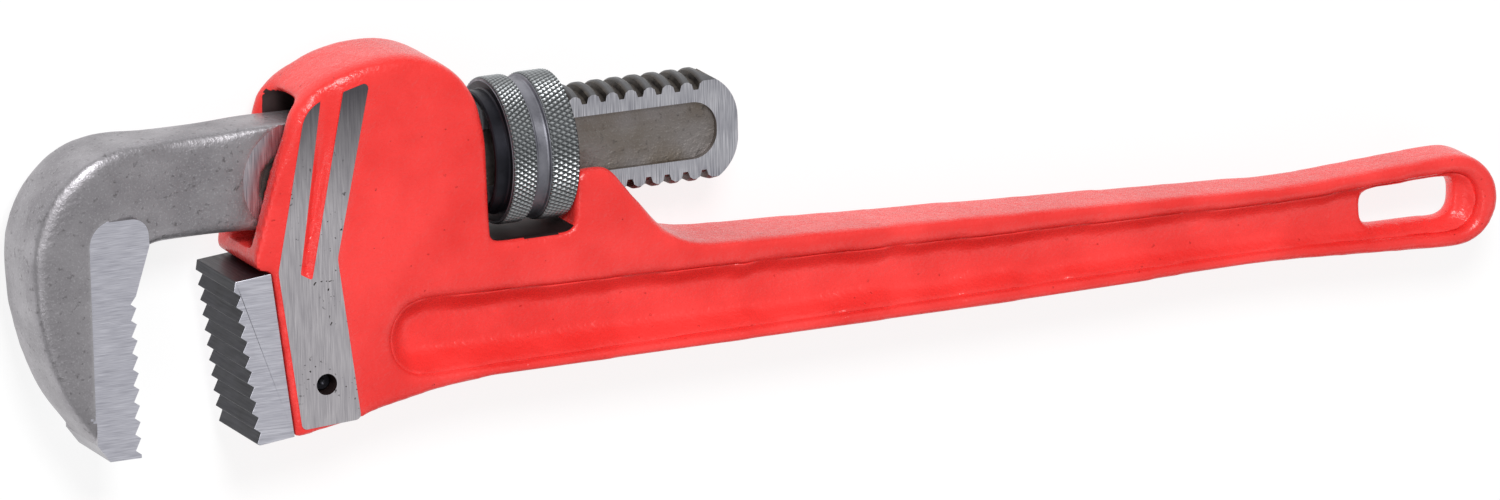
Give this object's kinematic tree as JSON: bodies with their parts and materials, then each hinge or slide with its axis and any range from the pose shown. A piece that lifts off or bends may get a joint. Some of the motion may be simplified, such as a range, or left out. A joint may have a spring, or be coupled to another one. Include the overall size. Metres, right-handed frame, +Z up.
{
  "type": "pipe wrench",
  "caption": "Adjustable pipe wrench with a cast I-beam handle, a toothed heel jaw and a threaded hook jaw moved by a knurled nut.",
  "frame": {"origin": "middle of the underside of the wrench lying on its side", "axes": "+X along the handle away from the jaws, +Y across it towards the housing's dome, +Z up through its thickness"},
  "size_m": [0.4498, 0.106, 0.042],
  "materials": {
    "red_paint": "enamel over a sand-cast ductile iron surface, with ground pads",
    "forged_steel": "forged and blasted steel with milled flats and ground sides",
    "knurled_steel": "phosphated, diamond knurl",
    "hardened_steel": "black oxide teeth, ground bright sides",
    "spring_steel": "oil-blued spring steel"
  },
  "bodies": {
    "handle": {"handle": "red_paint", "heel_jaw": "hardened_steel", "heel_jaw_pin": "spring_steel", "flat_spring": "spring_steel", "coil_spring": "spring_steel", "spring_rivet": "spring_steel"},
    "hook_jaw": {"hook_jaw": "forged_steel"},
    "nut": {"adjusting_nut": "knurled_steel"}
  },
  "joints": [
    {"name": "jaw_slide", "type": "slide", "parent": "handle", "child": "hook_jaw", "axis": [-1, 0, 0], "range_m": [-0.025, 0.04]},
    {"name": "nut_spin", "type": "hinge", "parent": "handle", "child": "nut", "pos_m": [-0.0735, 0.01886, 0.021], "axis": [1, 0, 0], "range_deg": [-1596, 2553]}
  ],
  "couplings": [
    {"joint": "nut_spin", "follows": "jaw_slide", "rad_per_m": 1113.2}
  ]
}
